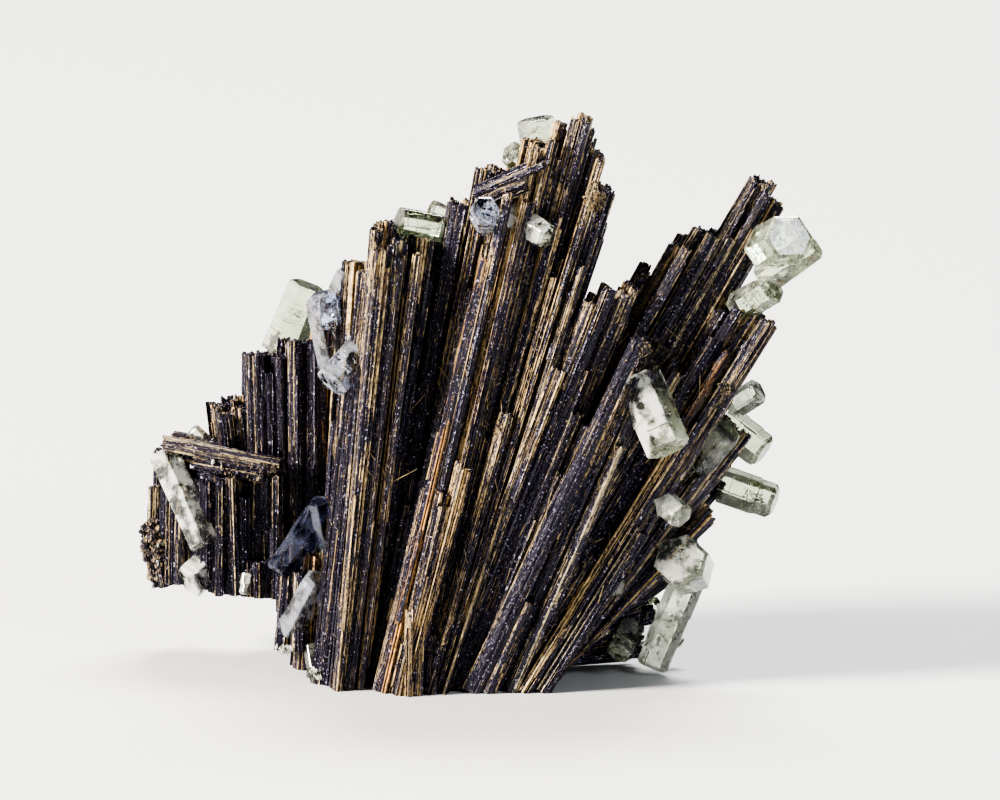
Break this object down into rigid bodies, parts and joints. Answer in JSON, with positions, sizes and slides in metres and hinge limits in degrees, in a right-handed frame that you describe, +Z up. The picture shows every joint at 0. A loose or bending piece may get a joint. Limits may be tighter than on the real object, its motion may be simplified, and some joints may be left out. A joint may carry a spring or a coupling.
{
  "type": "schorl specimen",
  "caption": "Fan-shaped spray of black tourmaline crystals with stepped broken ends and clear beryl prisms grown on it.",
  "frame": {"origin": "middle of the specimen's footprint box, on the surface that it stands on", "axes": "+Z up along the spray, -Y towards the front face of the fan, +X to the arm that carries the largest beryl"},
  "size_m": [0.0686, 0.0348, 0.0571],
  "materials": {
    "schorl": "glossy striated faces, weathered golden brown on their edges",
    "beryl": "clear to slightly frosted, colourless to pale green"
  },
  "bodies": {
    "root": {"schorl_spray": "schorl", "beryl_summit": "beryl", "beryl_end_on": "beryl", "beryl_bright": "beryl", "beryl_shoulder": "beryl", "beryl_shoulder_back": "beryl", "beryl_left_tall": "beryl", "beryl_left_large": "beryl", "beryl_left_front": "beryl", "beryl_left_blade": "beryl", "beryl_left_low": "beryl", "beryl_left_grey": "beryl", "beryl_left_top": "beryl", "beryl_left_drop": "beryl", "beryl_shadow": "beryl", "beryl_shadow_low": "beryl", "beryl_base_left": "beryl", "beryl_upper_right": "beryl", "beryl_front": "beryl", "beryl_right_small": "beryl", "beryl_right_middle": "beryl", "beryl_right_prism": "beryl", "beryl_right_inner": "beryl", "beryl_low_inner": "beryl", "beryl_low_speck": "beryl", "beryl_foot": "beryl", "beryl_low_wedge": "beryl", "beryl_foot_side": "beryl", "beryl_foot_back": "beryl"}
  },
  "joints": []
}
